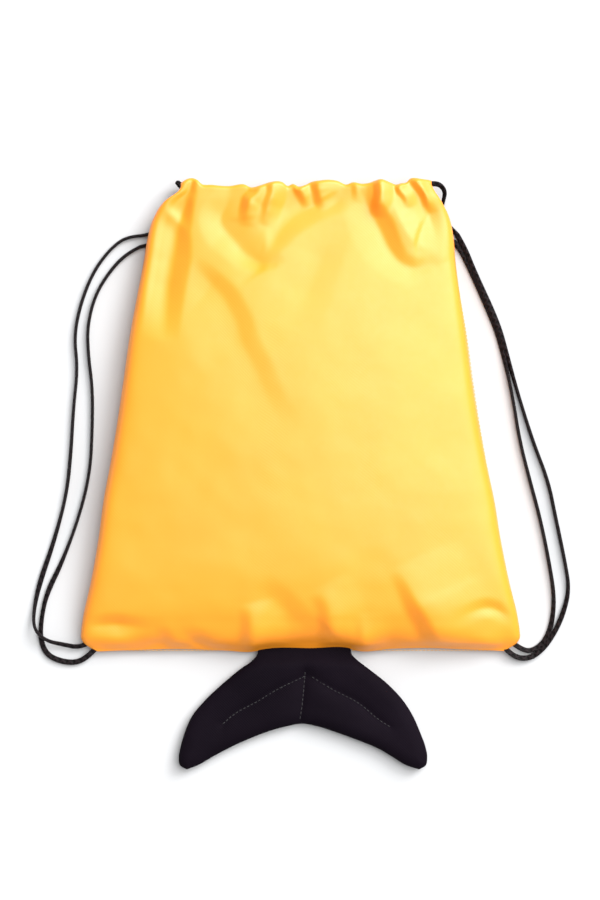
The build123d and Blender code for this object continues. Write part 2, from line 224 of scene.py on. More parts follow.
def twisted(name, colour, roughness):
    """Sewing thread."""
    m = Nodes(name)
    coordinates = m.add("ShaderNodeTexCoord").outputs["Object"]
    fibre = m.add("ShaderNodeTexNoise", Scale=1800.0, Detail=3.0, Vector=coordinates)
    darker = tuple(0.7 * c for c in colour)
    tone = m.ramp(fibre.outputs["Fac"], (0.35, darker), (0.65, colour))
    bump = m.add(
        "ShaderNodeBump", Strength=0.8, Distance=0.2 * MM, Height=fibre.outputs["Fac"]
    )
    m.set(Base_Color=tone, Roughness=roughness, Normal=bump.outputs["Normal"])
    m.set(Sheen_Weight=0.2)
    return m.material


bag_cloth = woven(
    "bag_cloth",
    dark=(0.99, 0.302, 0.0012),
    light=(1.0, 0.33, 0.003),
    thread_mm=1.3,
    depth=0.055,
    roughness=0.5,
    sheen=0.02,
    sheen_tint=(1.0, 0.95, 0.75),
    specular=0.74,
    coat=0.2,
)
tail_cloth = woven(
    "tail_cloth",
    dark=(0.0026, 0.0013, 0.0033),
    light=(0.0066, 0.0040, 0.0078),
    thread_mm=1.1,
    depth=0.16,
    roughness=0.7,
    sheen=0.0,
    sheen_tint=(0.8, 0.8, 1.0),
    specular=0.04,
    coat=0.0,
)
cord_braid = braided("cord_braid")
bag_thread = twisted("bag_thread", (0.95, 0.50, 0.03), 0.6)
tail_thread = twisted("tail_thread", (0.005, 0.004, 0.006), 0.6)


# ---- camera -------------------------------------------------------------------------------
CAMERA_HEIGHT = 3.0
VIEW_HEIGHT = 0.738  # metres of floor from the top of the picture to its bottom

camera_data = bpy.data.cameras.new("camera")
camera_data.sensor_width = 36
camera_data.lens = 36 * CAMERA_HEIGHT / VIEW_HEIGHT
camera = bpy.data.objects.new("camera", camera_data)
camera.location = (-0.0004, 0.0213, CAMERA_HEIGHT)
bpy.context.collection.objects.link(camera)
bpy.context.scene.camera = camera


# ---- cords --------------------------------------------------------------------------------
CORD_WIDTH = 4.6
CORD_THICKNESS = 2.6
ON_FLOOR = 2.2  # height of a cord's middle where it lies on edge on the floor
FLOOR_GAP = 0.1  # lowest that any point of a cord comes
RING = 16  # points round a cord
RING_STEP = 1.6  # distance from one ring of points to the next
TWIST_RINGS = 12  # rings on each side over which a change of twist is spread
ROUND_UV = 0.12  # UV distance round a cord


def flat_cord(name, route, turns):
    """Flat braid along a route; turns are its twist in degrees, spread evenly along it."""
    line = nurbs_line(route)
    steps = np.linalg.norm(np.diff(line, axis=0), axis=1)
    line = resample(line, int(steps.sum() / RING_STEP))
    length = float(np.linalg.norm(np.diff(line, axis=0), axis=1).sum())
    ahead = np.gradient(line, axis=0)
    ahead /= np.linalg.norm(ahead, axis=1)[:, None]
    side = np.cross((0, 0, 1), ahead)
    side /= np.linalg.norm(side, axis=1)[:, None] + 1e-9
    up = np.cross(ahead, side)
    at = np.linspace(0, 1, len(line))
    smooth_turns = np.interp(at, np.linspace(0, 1, len(turns)), turns)
    kernel = np.hanning(2 * TWIST_RINGS + 1)
    kernel /= kernel.sum()
    smooth_turns = np.convolve(np.pad(smooth_turns, TWIST_RINGS, mode="edge"), kernel, "valid")
    twist = np.radians(smooth_turns)[:, None]
    across = side * np.cos(twist) + up * np.sin(twist)
    through = up * np.cos(twist) - side * np.sin(twist)
    points, uvs = [], []
    for i in range(len(line)):
        for k in range(RING):
            angle = 2 * math.pi * k / RING
            wide = CORD_WIDTH / 2 * math.copysign(abs(math.cos(angle)) ** 0.8, math.cos(angle))
            thick = CORD_THICKNESS / 2 * math.sin(angle)
            points.append(line[i] + across[i] * wide + through[i] * thick)
            uvs.append((k / RING * ROUND_UV, i * length / len(line) / UV_MM))
        lift = max(0.0, FLOOR_GAP - min(p[2] for p in points[-RING:]))
        points[-RING:] = [p + (0, 0, lift) for p in points[-RING:]]
    faces = []
    for i in range(len(line) - 1):
        for k in range(RING):
            a, b = i * RING + k, i * RING + (k + 1) % RING
            faces.append((a, b, b + RING, a + RING))
    faces.append(tuple(reversed(range(RING))))
    faces.append(tuple(range((len(line) - 1) * RING, len(line) * RING)))
    cord = mesh_object(name, points, faces, cord_braid, uvs)
    return cord


LEFT_OUTER = (
    (-129, 197, ON_FLOOR),
    (-141, 196.5, ON_FLOOR),
    (-154, 188, ON_FLOOR),
    (-169, 169, ON_FLOOR),
    (-180, 142, ON_FLOOR),
    (-185.5, 115, ON_FLOOR),
    (-182.5, 88, ON_FLOOR),
    (-186, 56, ON_FLOOR),
    (-188, 20, ON_FLOOR),
    (-191.5, -15, ON_FLOOR),
    (-202, -54, ON_FLOOR),
    (-214, -88, ON_FLOOR),
    (-218.8, -112, 2.6),
    (-218, -126, 6.5),
    (-208, -135, 6.5),
    (-194.5, -138, 3.5),
    (-181, -140.5, 5.4),
    (-174.5, -137.2, 5.4),
)
LEFT_INNER = (
    (-131, 188, ON_FLOOR),
    (-141.5, 183, ON_FLOOR),
    (-155, 169.5, ON_FLOOR),
    (-168, 149, ON_FLOOR),
    (-174.5, 124, ON_FLOOR),
    (-174, 100, ON_FLOOR),
    (-170.3, 72, ON_FLOOR),
    (-170.5, 38, ON_FLOOR),
    (-172.5, 2, ON_FLOOR),
    (-181.5, -34, ON_FLOOR),
    (-195, -70, ON_FLOOR),
    (-208, -96, ON_FLOOR),
    (-212.3, -117, ON_FLOOR),
    (-213.2, -134, ON_FLOOR),
    (-208, -146.5, ON_FLOOR),
    (-196, -152, ON_FLOOR),
    (-183, -153, 2.6),
    (-173, -147, 5),
    (-167.5, -140.8, 5.4),
)
RIGHT_INNER = (
    (125.4, 192.4, 1.4),
    (131.5, 186, 1.4),
    (139, 170, 1.4),
    (147.5, 151, 1.4),
    (155, 134, 1.4),
    (161.5, 118, 1.4),
    (166, 100, 1.6),
    (169.8, 84, ON_FLOOR),
    (174.7, 60, ON_FLOOR),
    (179.4, 30, ON_FLOOR),
    (187.5, -2, ON_FLOOR),
    (197, -37, ON_FLOOR),
    (204, -72, ON_FLOOR),
    (208, -98, 1.6),
    (206.5, -119, 1.4),
    (201.5, -134, 1.4),
    (192, -142.5, 2.4),
    (183, -143.5, 4),
    (174.5, -137.2, 5.4),
)
RIGHT_OUTER = (
    (128, 198, ON_FLOOR),
    (134.5, 187, 3.0),
    (141, 170.5, 3.3),
    (149, 152.5, 3.3),
    (157, 135, 3.3),
    (163.5, 118.5, 3.3),
    (168.6, 100, 3.0),
    (174, 82, ON_FLOOR),
    (180.5, 60, ON_FLOOR),
    (190.5, 28, ON_FLOOR),
    (203, -4, ON_FLOOR),
    (209.5, -36, ON_FLOOR),
    (216.5, -69, ON_FLOOR),
    (220.5, -93, ON_FLOOR),
    (214.5, -115, 2.6),
    (206.5, -131, 3.4),
    (198, -142.5, 3.4),
    (187, -150, 2.8),
    (174, -148, 4.4),
    (167.5, -140.8, 5.4),
)
LEFT_IN_TUNNELS = (  # in at the back's left end, round at the right, out at the front's left
    (-132, 187.6, ON_FLOOR),
    (-120, 190.2, ON_FLOOR),
    (-112, 194.8, ON_FLOOR),
    (-106.3, 201, ON_FLOOR),
    (-103, 209, ON_FLOOR),
    (-102.8, 216.8, 2.8),
    (-99.6, 223.6, 3.8),
    (-93, 224.6, 4),
    (-85, 224.8, 4),
    (-40, 224.8, 4),
    (20, 224.8, 4),
    (72, 224.8, 4),
    (98, 224.8, 4),
    (105.5, 225.5, 5.2),
    (108, 226.5, 9.5),
    (105.5, 226.6, 14.5),
    (98, 226.6, 17.5),
    (66, 226.6, 19.6),
    (22, 226.6, 21.4),
    (-22, 226.6, 21.4),
    (-66, 226.6, 19.2),
    (-86, 226.6, 17.2),
    (-95, 226.4, 15.6),
    (-100.5, 226, 12.5),
    (-102.8, 221.5, 8.4),
    (-104.6, 215.5, 4.6),
    (-107.8, 208.6, 2.4),
    (-113, 202.8, ON_FLOOR),
    (-120.5, 198.6, ON_FLOOR),
    (-130, 197, ON_FLOOR),
)
RIGHT_IN_TUNNELS = (  # the same from the right
    (125.4, 191.2, ON_FLOOR),
    (118, 198.8, ON_FLOOR),
    (112.2, 203.2, ON_FLOOR),
    (108, 209.2, ON_FLOOR),
    (107.6, 216.5, 2.3),
    (110, 223, 2.8),
    (109.4, 227.6, 3.4),
    (104, 229.4, 4),
    (95, 229.6, 4),
    (85, 229.5, 4),
    (40, 229.5, 4),
    (-20, 229.5, 4),
    (-72, 229.5, 4),
    (-92, 231, 4),
    (-99.5, 237, 5.2),
    (-101, 240, 9.5),
    (-99, 240, 14),
    (-91, 232.4, 16.8),
    (-66, 231.2, 19.4),
    (-22, 231.2, 21.4),
    (22, 231.2, 21.4),
    (66, 231.2, 19.8),
    (88, 231.2, 18.4),
    (98, 234, 17.5),
    (105, 238.6, 16.4),
    (113.6, 238.4, 14.6),
    (118.4, 232.4, 11),
    (116.8, 224.8, 7.2),
    (115, 217, 4),
    (116.4, 210, ON_FLOOR),
    (121.4, 205, ON_FLOOR),
    (128.8, 197.2, ON_FLOOR),
)


def strap_strand(name, route, body, turns, *replaced):
    """One strand of a strap; replaced are its CAD nodes. body is not used."""
    cord = flat_cord(name, route, turns)
    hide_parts(*replaced)
    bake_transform(cord)
    return cord


strap_strand(
    "left_cord_outer",
    LEFT_OUTER,
    "left_strap",
    (80, 84, 76, 80, 72, 84, 78, 84, 76, 70, 66, 74, 62, 44, 20, 66, 84, 50, 40),
    "left_cord_outer_strand",
    "left_cord_sewn_ends",
)
strap_strand(
    "left_cord_inner",
    LEFT_INNER,
    "left_strap",
    (80, 70, 78, 84, 80, 86, 82, 86, 84, 80, 86, 88, 84, 60, 20, 60, 40, 0, 10, 30),
    "left_cord_inner_strand",
)
strap_strand(
    "right_cord_inner",
    RIGHT_INNER,
    "right_strap",
    (0, 10, 20, 10, 20, 50, 84, 86, 80, 84, 80, 74, 80, 76, 70, 60, 30, 40, 30),
    "right_cord_inner_strand",
)
strap_strand(
    "right_cord_outer",
    RIGHT_OUTER,
    "right_strap",
    (20, 40, 20, 0, 10, 40, 80, 86, 74, 80, 70, 78, 72, 78, 66, 30, 40, 20, 30),
    "right_cord_outer_strand",
    "right_cord_sewn_ends",
)

# A cord runs through the tunnels on each side: (side, route, twist in degrees along it).
IN_TUNNELS = (
    ("left", LEFT_IN_TUNNELS, (80, 30, *[0] * 16, 40, 80)),
    ("right", RIGHT_IN_TUNNELS, (0, 20, *[0] * 6, 40, 90, 90, 20, *[0] * 5, 20, 84, 40)),
)
for side, route, turns in IN_TUNNELS:
    tunnel_cord = flat_cord(f"{side}_cord_in_tunnels", route, turns)
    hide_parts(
        f"{side}_cord_front_run",
        f"{side}_cord_front_lead",
        f"{side}_cord_back_run",
        f"{side}_cord_back_lead",
    )
    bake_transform(tunnel_cord)


# ---- bag cloth ----------------------------------------------------------------------------
BOTTOM_Y = -143.5
MOUTH_Y = 238.0
HEM_END_Y = 217  # how far down the cloth turned over at the mouth reaches
FREE_FROM = 195.0  # above this y the rows follow the wavy mouth
COLUMNS = 261
ROWS = 300

OUTLINE = np.array(  # (y, half width) of the bag
    [
        (-143.5, 166),
        (-140.5, 172),
        (-137, 177),
        (-133, 179.4),
        (-127, 179.4),
        (-118, 178.2),
        (-85, 170.6),
        (-52.5, 164.4),
        (-19.7, 159.5),
        (13, 153),
        (46, 147.2),
        (78.7, 142.3),
        (111.5, 137.8),
        (144, 132.4),
        (177, 127),
        (193.5, 125),
        (210, 121),
        (219, 116.5),
        (226, 111),
        (231, 105.4),
        (240, 100.5),
    ]
)
SHIFT = np.array(  # (y, how far the bag's middle is to the right)
    [
        (-143.5, 0),
        (193, 0),
        (210, 0.8),
        (226, 2.6),
        (231, 4.6),
        (240, 5),
    ]
)
FRONT_HEIGHTS = np.array(  # (y, height at the side seam, height of the crown)
    [
        (-143.5, 6.5, 6.6),
        (-133, 6.5, 20),
        (-116, 8.5, 30),
        (-90, 11.5, 37.5),
        (-40, 13, 43.5),
        (30, 13, 46),
        (100, 13, 44.5),
        (155, 13, 39),
        (193, 13, 33),
        (215, 15, 29.5),
        (228, 20.5, 28),
        (240, 21, 27.5),
    ]
)
BACK_HEIGHTS = np.array(  # (y, height at the side seam, underside height, flat half width)
    [
        (-143.5, 6.5, 6.4, 140),
        (-133, 6.5, 1.5, 135),
        (-116, 8.5, 0.3, 130),
        (-90, 11.5, 0.3, 125),
        (-40, 13, 0.3, 115),
        (30, 13, 0.3, 105),
        (100, 13, 0.3, 90),
        (155, 13, 0.3, 70),
        (193, 13, 0.3, 60),
        (215, 9, 0.5, 62),
        (240, 6, 0.8, 70),
    ]
)
MOUTH_EDGE = np.array(  # (x, y) of the gathered mouth, whose low places are the gathers
    [
        (-96, 238.4),
        (-92.5, 241.6),
        (-83, 241.2),
        (-78.5, 238),
        (-70, 237.2),
        (-56, 236.2),
        (-45, 237.6),
        (-37.5, 235),
        (-30, 237.2),
        (-24, 239.2),
        (-14, 239),
        (-10, 236.2),
        (-6, 237.8),
        (-1, 235.6),
        (4, 237),
        (9, 239.5),
        (16, 240.6),
        (23, 241.2),
        (30, 240.2),
        (36, 237.4),
        (42, 239.2),
        (49, 238),
        (55, 238.8),
        (60, 240.4),
        (65, 241.6),
        (71, 239.4),
        (75, 237.4),
        (80, 238.3),
        (85, 239.4),
        (88, 241.8),
        (98, 242),
        (105, 241),
    ]
)
BOTTOM_EDGE = np.array(  # (x, how much higher the bottom seam is there)
    [
        (-166, 0),
        (-140, 1.0),
        (-100, 2.0),
        (-60, 0.6),
        (-41, -0.4),
        (-27, 1.8),
        (10, 2.0),
        (40, 2.2),
        (46, 0.6),
        (75, 2.2),
        (105, 2.8),
        (132, 1.8),
        (166, 0.4),
    ]
)


def smooth_column(table, column, at):
    """Smooth interpolation down one column of a table whose first column is where it holds."""
    places, values = table[:, 0], table[:, column]
    slopes = np.gradient(values, places)
    k = np.clip(np.searchsorted(places, at) - 1, 0, len(places) - 2)
    h = places[k + 1] - places[k]
    t = np.clip((at - places[k]) / h, 0, 1)
    return (
        (2 * t**3 - 3 * t**2 + 1) * values[k]
        + (t**3 - 2 * t**2 + t) * h * slopes[k]
        + (3 * t**2 - 2 * t**3) * values[k + 1]
        + (t**3 - t**2) * h * slopes[k + 1]
    )


FRONT_TURN = 3.5  # how far the front's edge is rounded past its last row at the mouth
BACK_TURN = 2.6

# The cloth's grid: U runs from -1 at the left side seam to 1 at the right one, V up the bag.
u_line = np.linspace(-1, 1, COLUMNS)
u_line = np.sign(u_line) * (1 - (1 - np.abs(u_line)) ** 1.2)  # closer together at the seams
U, V = np.meshgrid(u_line, np.linspace(BOTTOM_Y, MOUTH_Y, ROWS))
mouth_half, mouth_shift = OUTLINE[-1, 1], SHIFT[-1, 1]
mouth_y = smooth_column(MOUTH_EDGE, 1, mouth_shift + mouth_half * U)
stretch = (mouth_y - FRONT_TURN - FREE_FROM) / (MOUTH_Y - FREE_FROM)
V = np.where(V > FREE_FROM, FREE_FROM + (V - FREE_FROM) * stretch, V)
HALF = smooth_column(OUTLINE, 1, V)
X = U * HALF + smooth_column(SHIFT, 1, V)
Y = V + smooth_column(BOTTOM_EDGE, 1, X) * smoothstep(-120, BOTTOM_Y, V)


def near(points):
    """Distance from X, Y to a polyline, positive on its left, and the share of it gone by."""
    points = np.asarray(points, float)
    best = np.full(X.shape, 1e9)
    side = np.ones(X.shape)
    share = np.zeros(X.shape)
    lengths = np.linalg.norm(np.diff(points, axis=0), axis=1)
    starts = np.concatenate([[0], np.cumsum(lengths)])
    for a, b, start, length in zip(points, points[1:], starts, lengths):
        run = (b - a) / length
        along = np.clip((X - a[0]) * run[0] + (Y - a[1]) * run[1], 0, length)
        dx, dy = X - a[0] - along * run[0], Y - a[1] - along * run[1]
        gap = np.hypot(dx, dy)
        nearer = gap < best
        best = np.where(nearer, gap, best)
        side = np.where(nearer, np.sign(run[0] * dy - run[1] * dx + 1e-9), side)
        share = np.where(nearer, (start + along) / starts[-1], share)
    return best * side, share


def flat_curve(points, count=60):
    """Smooth curve through points of the plane."""
    points = np.asarray(points, float)
    at = np.concatenate([[0], np.cumsum(np.linalg.norm(np.diff(points, axis=0), axis=1))])
    table = np.column_stack([at, points])
    where = np.linspace(0, at[-1], count)
    return np.stack([smooth_column(table, 1, where), smooth_column(table, 2, where)], axis=1)


def facet(share, rounding=0.22):
    """0 to 1 in a straight slope with rounded ends."""
    t = np.clip(share, 0, 1)
    low = t**2 / (2 * rounding)
    high = 1 - rounding - (1 - t) ** 2 / (2 * rounding)
    straight = np.where(t < rounding, low, np.where(t > 1 - rounding, high, t - rounding / 2))
    return straight / (1 - rounding)


def step_fold(points, depths, falls, recover):
    """The cloth drops on the left of a line and comes back up further out, over recover.

    depths and falls are spread evenly along the line: how far it drops, and over what width.
    A depth below 0 is a rise.
    """
    distance, share = near(flat_curve(points))
    depth = np.interp(share, np.linspace(0, 1, len(depths)), depths)
    fall = np.interp(share, np.linspace(0, 1, len(falls)), falls)
    out = facet(distance / fall)
    back = 1 - facet((distance - fall) / recover)
    return -depth * out * back


def tent(points, heights, left, right):
    """A sharp ridge, or a valley if its heights are below 0, with almost straight sides."""
    distance, share = near(flat_curve(points))
    height = np.interp(share, np.linspace(0, 1, len(heights)), heights)
    lefts = np.interp(share, np.linspace(0, 1, len(left)), left)
    rights = np.interp(share, np.linspace(0, 1, len(right)), right)
    width = np.where(distance > 0, lefts, rights)
    away = np.abs(distance) / width
    return height * np.clip(1 - away, 0, 1) ** 1.25


def valley(points, depths, left, right, power=1.6):
    """A soft valley along a line, with its own width on each side."""
    distance, share = near(flat_curve(points))
    depth = np.interp(share, np.linspace(0, 1, len(depths)), depths)
    width = np.where(distance > 0, left, right)
    return -depth * np.exp(-(np.abs(distance / width) ** power))


def soft_noise(cell, seed):
    """Smooth random heights between -1 and 1, with hills about a cell wide."""
    values = np.random.default_rng(seed).uniform(-1, 1, (60, 60))
    a, b = (X + 250) / cell, (Y + 250) / cell
    i, j = np.floor(a).astype(int) % 59, np.floor(b).astype(int) % 59
    s, t = smoothstep(0, 1, a - np.floor(a)), smoothstep(0, 1, b - np.floor(b))
    low = values[i, j] * (1 - s) + values[i + 1, j] * s
    high = values[i, j + 1] * (1 - s) + values[i + 1, j + 1] * s
    return low * (1 - t) + high * t


def blur(z, passes):
    """Soften a height grid by repeated averaging with its neighbours."""
    for _ in range(passes):
        p = np.pad(z, 1, mode="edge")
        z = 0.5 * z + 0.125 * (p[:-2, 1:-1] + p[2:, 1:-1] + p[1:-1, :-2] + p[1:-1, 2:])
    return z


def mouth_folds():
    """Folds that the drawn cords make at the mouth."""
    z = np.zeros(X.shape)
    # The cloth right of this line lies over the cloth between it and the side.
    z += step_fold(
        [(-98, 108), (-92, 150), (-87.5, 175), (-87.7, 203), (-86, 222), (-84, 240)],
        (0, 3.0, 5.0, 5.2, 5.0, 4.6, 2.4),
        (14, 15, 17, 18, 14, 8, 5),
        22,
    )
    z += tent([(-116, 224), (-104, 212), (-93, 200)], (0.3, 2.4, 0.6), (6, 6), (9, 9))
    # A dent hangs from the middle of the mouth.
    z += tent(
        [(-58, 242), (-59, 224), (-65, 208), (-54, 191), (-41, 177), (-33, 173), (-24, 172.6)],
        (-0.5, -1.6, -3.6, -4.6, -4.6, -3.4, -1.6),
        (14, 24, 30, 32, 30, 22, 12),
        (10, 14, 18, 18, 15, 11, 7),
    )
    z += step_fold(
        [(-26, 171.5), (-14, 181), (-1, 193), (14, 203), (34, 211.5), (52, 224)],
        (0.8, 2.8, 4.0, 4.2, 3.0, 0),
        (8, 15, 20, 20, 16, 12),
        26,
    )
    # A pocket hangs from the right of the mouth, with the cloth bulging inside it.
    pocket = [(39, 240), (49.5, 230), (55, 218), (64, 200), (73, 182), (81, 173)]
    pocket += [(93, 168.5), (106, 172)]
    z += tent(
        pocket,
        (-0.5, -1.2, -2.4, -2.6, -2.4, -2.0, -1.6, -0.6),
        (12, 12, 14, 14, 12, 10, 9, 8),
        (18, 19, 22, 24, 22, 18, 14, 10),
    )
    z += step_fold(
        pocket,
        (-0.5, -2.2, -3.8, -4.2, -3.6, -2.8, -2.0, -0.5),
        (8, 12, 14, 15, 14, 12, 11, 10),
        30,
    )
    z += tent(
        [(74, 222), (82, 206), (93, 190), (105, 183)], (0.8, 2.0, 2.2, 0.6), (13, 15), (10, 12)
    )
    z += tent([(99, 226), (105, 212), (110, 196)], (-2.2, -2.2, -0.5), (12, 12), (10, 12))
    return z


# Lines down from the mouth or down to the bottom seam, with the cloth higher on their right as
# seen from above: (rises along the line, widths of the rise, width of the way back down, line).
GATHERS = (
    (
        (3.0, 5.0, 5.4, 2.8, 0),
        (8.0,),
        14,
        ((-40, 240), (-41, 234.5), (-47, 229.6), (-49.6, 221.4), (-52, 204)),
    ),
    ((3.0, 4.8, 3.2, 0), (6.5,), 13, ((-29.5, 240), (-28.5, 231.6), (-31.5, 223.4), (-37, 206))),
    ((2.5, 4.5, 3.5, 0), (6.0,), 9, ((-9, 240), (-6.2, 231.6), (-2, 224.7), (2, 216))),
    ((3.0, 5.2, 4.8, 0), (8.0,), 20, ((7, 242), (7.2, 231.6), (9, 224.7), (15, 214))),
    ((1.2, 1.6, 0), (5.0,), 9, ((40, 241), (41, 232), (41, 222))),
    ((3.0, 5.6, 5.0, 0), (7.0,), 12, ((57, 242), (58.6, 230.4), (57, 223.4), (55, 212))),
    ((2.0, 3.6, 2.6, 0), (4.5,), 9, ((75, 241), (77, 230.4), (81.6, 224.7), (84, 217))),
    (
        (2.0, 3.8, 4.4, 3.6, 0),
        (6.0,),
        12,
        ((85, 243), (91, 234), (95.6, 228), (97.4, 221.6), (99, 213)),
    ),
)
SEAM_RIDGES = (
    (
        (0, 3.2, 6.4, 8.4, 8.6),
        (9, 19),
        60,
        ((70, -78), (77, -92), (84, -109), (93, -127), (99, -146)),
    ),
    ((0, 3.2, 4.2), (7, 8), 24, ((43, -112), (44, -122), (44, -147))),
    ((0, 4.0, 5.8, 5.6), (9, 15), 32, ((6, -98), (12, -107), (13, -120), (12, -147))),
    ((0, 4.4, 6.2, 6.4), (9, 12), 32, ((-52, -106), (-49.5, -116), (-50, -128), (-50.5, -147))),
)
PUCKERS = (  # (x, height) of the small swellings just above the bottom seam
    (-150, 2.0),
    (-98, 2.2),
    (-62, 2.4),
    (-14, 1.6),
    (48, 2.5),
    (92, 2.6),
    (150, 2.2),
)
PUCKER_Y = -137


def with_ridges(z, table):
    """A height grid with a table of ridges added."""
    for rises, over, back, line in table:
        z = z + step_fold(line, -np.array(rises), over, back)
    return z


def bottom_folds():
    """Folds that the bottom seam and the tail make."""
    z = with_ridges(np.zeros(X.shape), SEAM_RIDGES)
    z += step_fold([(12, -112), (0, -98), (-26, -76)], (1.5, 2.6, 0), (16, 18, 16), 30)
    z += tent([(-174, -122), (-150, -120.5), (-122, -124)], (-2.5, -4, -0.5), (9, 9), (12, 12))
    z += tent([(-124, -150), (-112, -134), (-116, -124)], (-3, -3.5, -0.5), (12, 12), (9, 9))
    z += tent([(-76, -150), (-84, -137), (-98, -126)], (-3.5, -3.5, -0.5), (10, 10), (12, 12))
    z += tent([(172, -114), (152, -107), (130, -114)], (-2, -3, -0.5), (9, 9), (8, 8))
    for x, height in PUCKERS:
        z += height * np.exp(-(((X - x) / 12) ** 2) - ((Y - PUCKER_Y) / 7) ** 2)
    return z


def crown(table):
    """Height of the inflated front without its folds."""
    seam, top = smooth_column(table, 1, V), smooth_column(table, 2, V)
    edge = np.sqrt(1 - np.abs(U) ** 44)
    return seam + (top - seam) * (0.48 * edge + 0.52 * (1 - U**2))


def front_height():
    """Height of the front cloth over its grid."""
    inland = smoothstep(1.0, 0.9, np.abs(U)) * smoothstep(BOTTOM_Y, -137, V)
    z = mouth_folds() + bottom_folds()
    z += step_fold(
        [(8, 38), (-8, 64), (-21, 92), (-31, 112), (-40, 136), (-54, 157), (-68, 169), (-84, 180)],
        (0, 0.8, 1.7, 2.3, 2.7, 3.0, 3.0, 0),
        (20, 19, 18, 18, 17, 15, 10),
        46,
    )
    z += step_fold([(16, 110), (30, 150), (42, 190), (46, 206)], (0, 1.6, 1.8, 0), (26, 24, 20), 36)
    z = with_ridges(blur(z, 5), GATHERS)
    z += 0.35 * soft_noise(34, 3) + 0.18 * soft_noise(15, 4)
    return crown(FRONT_HEIGHTS) + blur(z, 2) * inland


TURN_ROWS = 10  # rows of cloth round the mouth's edge
INNER_ROWS = 8  # rows of cloth from there down the tunnel's inner side


def hem(rows_x, rows_y, rows_z, turn, drop, inner):
    """Rows that carry the cloth round the mouth's edge and back inside to make the tunnel.

    rows_x, rows_y and rows_z are the cloth's last row. turn is how far the edge reaches past it,
    drop how far below it the half round of the edge ends, and inner the height at which the
    tunnel's inner cloth ends.
    """
    rows = []
    for k in range(1, TURN_ROWS + 1):
        angle = math.pi / 2 - math.pi * k / TURN_ROWS
        height = rows_z - drop / 2 * (1 - math.sin(angle))
        rows.append((rows_x, rows_y + turn * math.cos(angle), height))
    end_y, end_z = rows[-1][1], rows[-1][2]
    for k in range(1, INNER_ROWS + 1):
        share = k / INNER_ROWS
        y = end_y + (HEM_END_Y - end_y) * share
        rows.append((rows_x, y, end_z + (inner - end_z) * smoothstep(0, 1, share)))
    return rows


def cloth_piece(name, z, turn, drop, inner, flip):
    """The panel's grid with its hem, as one continuous cloth; flip turns its faces over."""
    rows = hem(X[-1], Y[-1], z[-1], turn, drop, inner)
    x = np.vstack([X, [r[0] for r in rows]])
    y = np.vstack([Y, [r[1] for r in rows]])
    z = np.vstack([z, [r[2] for r in rows]])
    points = np.stack([x, y, z], axis=-1)
    along = np.linalg.norm(np.diff(points, axis=0), axis=2)
    flat_y = np.vstack([np.zeros(COLUMNS), np.cumsum(along, axis=0)])
    uvs = np.stack([x, flat_y], axis=-1).reshape(-1, 2) / UV_MM
    faces = grid_faces(len(points), COLUMNS)
    if flip:
        faces = [tuple(reversed(f)) for f in faces]
    return mesh_object(name, points.reshape(-1, 3), faces, bag_cloth, uvs)


front = front_height()
front_cloth = cloth_piece(
    "front_cloth",
    front,
    turn=FRONT_TURN,
    drop=front[-1] - crown(FRONT_HEIGHTS)[-1] + 7.6,  # the hem's end is level below the folds
    inner=18.3 - 1.8 * u_line**2,
    flip=False,
)
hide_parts("front_panel", "front_casing", "front_casing_stitching")
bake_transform(front_cloth)


def back_height():
    """Height of the back cloth over the same grid."""
    seam, under, flat = (smooth_column(BACK_HEIGHTS, k, V) for k in (1, 2, 3))
    reach = np.clip((np.abs(U) * HALF - flat) / (HALF - flat), 0, 1)
    return under + (seam - under) * (1 - np.sqrt(1 - reach**2))


# At the mouth the back is a little lower and narrower than the front, which hides it from above.
BACK_MOUTH_HALF = 97
Y = Y - 1.6 * smoothstep(200, 232, Y)
HALF = HALF + (BACK_MOUTH_HALF - HALF) * smoothstep(208, 217, Y)
X = U * HALF + smooth_column(SHIFT, 1, Y)
back_cloth = cloth_piece(
    "back_cloth", back_height(), turn=BACK_TURN, drop=-5.2, inner=7.5, flip=True
)
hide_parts("back_panel", "back_casing", "back_casing_stitching")
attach(back_cloth, "bag")


# ---- seams --------------------------------------------------------------------------------
SEAM_PITCH = 3.2
SEAM_THREAD = 0.55
STITCH_RINGS = 7  # rings along one stitch
STITCH_SIDES = 6
STITCH_SINK = 0.25  # share of the thread's width that its ends go into the cloth
SEAM_INSET = 1.6  # how far the side stitches are inside the bag's outline
SEAM_DROP = 0.1  # and below the back cloth's surface


def stitches(name, line, pitch, thread, material):
    """A row of short round-ended stitches along a line of points."""
    steps = np.linalg.norm(np.diff(line, axis=0), axis=1)
    count = int(steps.sum() / pitch)
    posts = resample(line, count + 1)
    points, faces = [], []
    for a, b in zip(posts, posts[1:]):
        run = b - a
        length = np.linalg.norm(run)
        run = run / length
        side = np.cross((0, 0, 1), run)
        side /= np.linalg.norm(side) + 1e-9
        up = np.cross(run, side)
        first = len(points)
        for k in range(STITCH_RINGS):
            share = k / (STITCH_RINGS - 1)
            bow = math.sin(math.pi * share)
            rise = thread * (0.55 * bow - STITCH_SINK)
            centre = a + run * length * (0.10 + 0.80 * share) + up * rise
            radius = thread / 2 * (0.45 + 0.55 * bow**0.5)
            for m in range(STITCH_SIDES):
                angle = 2 * math.pi * m / STITCH_SIDES
                points.append(centre + radius * (side * math.cos(angle) + up * math.sin(angle)))
        last = first + (STITCH_RINGS - 1) * STITCH_SIDES
        for ring in range(first, last, STITCH_SIDES):
            for m in range(STITCH_SIDES):
                p, q = ring + m, ring + (m + 1) % STITCH_SIDES
                faces.append((p, q, q + STITCH_SIDES, p + STITCH_SIDES))
        faces.append(tuple(reversed(range(first, first + STITCH_SIDES))))
        faces.append(tuple(range(last, last + STITCH_SIDES)))
    return mesh_object(name, points, faces, material)


